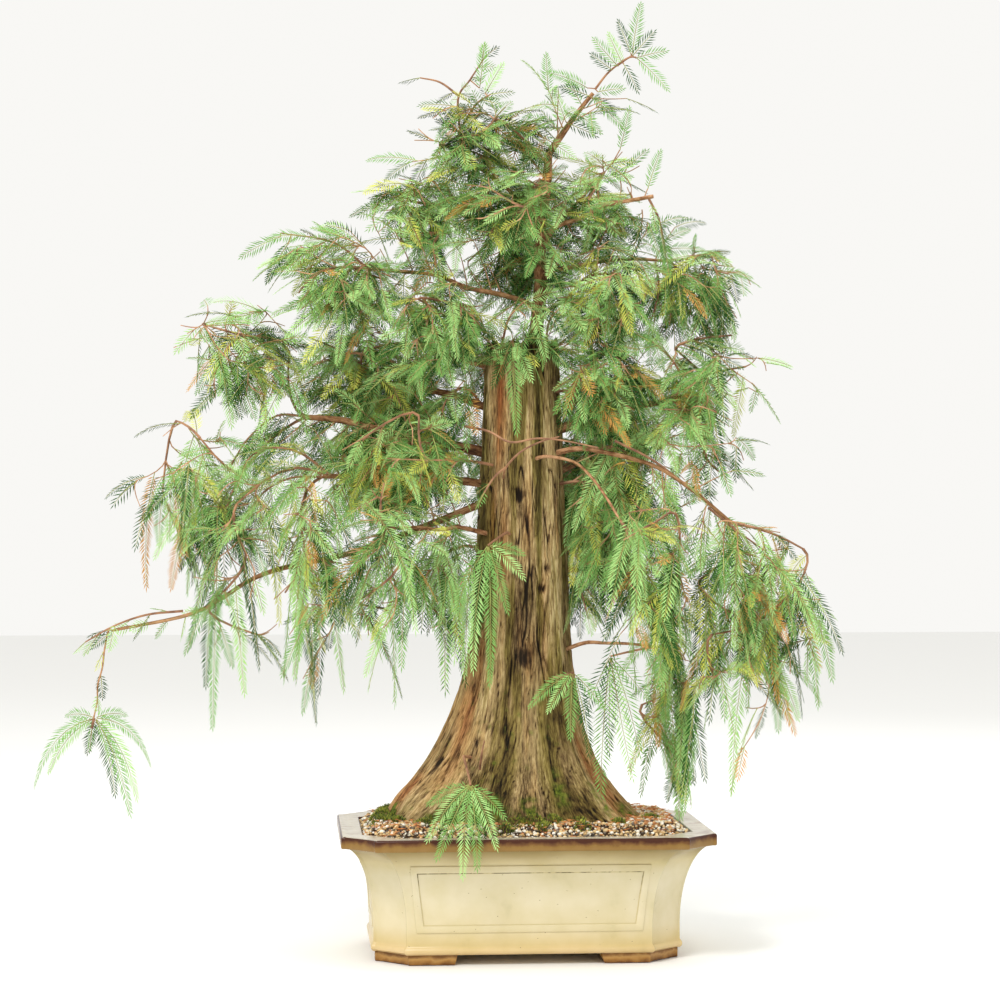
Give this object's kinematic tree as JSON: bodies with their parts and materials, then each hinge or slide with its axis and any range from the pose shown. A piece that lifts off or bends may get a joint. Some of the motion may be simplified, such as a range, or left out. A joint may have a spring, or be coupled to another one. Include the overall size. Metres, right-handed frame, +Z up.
{
  "type": "bald cypress bonsai in a pot",
  "caption": "Potted bald cypress bonsai: flared cut trunk, thin leader, drooping boughs with feathery needle sprays, in a cream glazed stepped-corner pot.",
  "frame": {"origin": "centre of the whole plant's box, on the plane under the pot's feet; the pot stands to one side of it because one long shoot hangs far out to the left", "axes": "+Z up; the pot's long front faces -Y and its length runs along X"},
  "size_m": [0.8388, 0.4174, 1.0417],
  "materials": {
    "pot_glaze": "glossy",
    "soil": "rough",
    "bark": "rough",
    "bough_bark": "rough",
    "foliage": "matte"
  },
  "bodies": {
    "root": {"bough_back": "bough_bark", "bough_back_left": "bough_bark", "bough_back_right": "bough_bark", "bough_front_shoot": "bough_bark", "bough_left_chop": "bough_bark", "bough_left_high": "bough_bark", "bough_left_rising": "bough_bark", "bough_left_shelf": "bough_bark", "bough_left_short": "bough_bark", "bough_left_thick": "bough_bark", "bough_left_top": "bough_bark", "bough_left_upper": "bough_bark", "bough_left_whip": "bough_bark", "bough_left_whip_drop": "bough_bark", "bough_right_base": "bough_bark", "bough_right_high": "bough_bark", "bough_right_long": "bough_bark", "bough_right_low": "bough_bark", "bough_right_stub": "bough_bark", "bough_right_thick": "bough_bark", "bough_right_upper": "bough_bark", "foliage_back": "foliage", "foliage_back_high": "foliage", "foliage_back_left": "foliage", "foliage_back_right": "foliage", "foliage_crown_tip": "foliage", "foliage_front_foot": "foliage", "foliage_front_left": "foliage", "foliage_front_top": "foliage", "foliage_leader_mid": "foliage", "foliage_left_chop": "foliage", "foliage_left_far": "foliage", "foliage_left_inner": "foliage", "foliage_left_mid": "foliage", "foliage_left_near": "foliage", "foliage_left_outer": "foliage", "foliage_left_rising": "foliage", "foliage_left_shelf": "foliage", "foliage_left_short": "foliage", "foliage_left_upper": "foliage", "foliage_pot_sprig": "foliage", "foliage_right_base": "foliage", "foliage_right_drop": "foliage", "foliage_right_front": "foliage", "foliage_right_inner": "foliage", "foliage_right_long": "foliage", "foliage_right_low": "foliage", "foliage_right_mid": "foliage", "foliage_right_stem": "foliage", "foliage_right_thick": "foliage", "foliage_right_under": "foliage", "foliage_right_upper": "foliage", "foliage_top_left": "foliage", "foliage_top_spire": "foliage", "foliage_upper_left": "foliage", "foliage_upper_right": "foliage", "foliage_whip_tuft": "foliage", "pot": "pot_glaze", "soil": "soil", "trunk": "bark"}
  },
  "joints": []
}
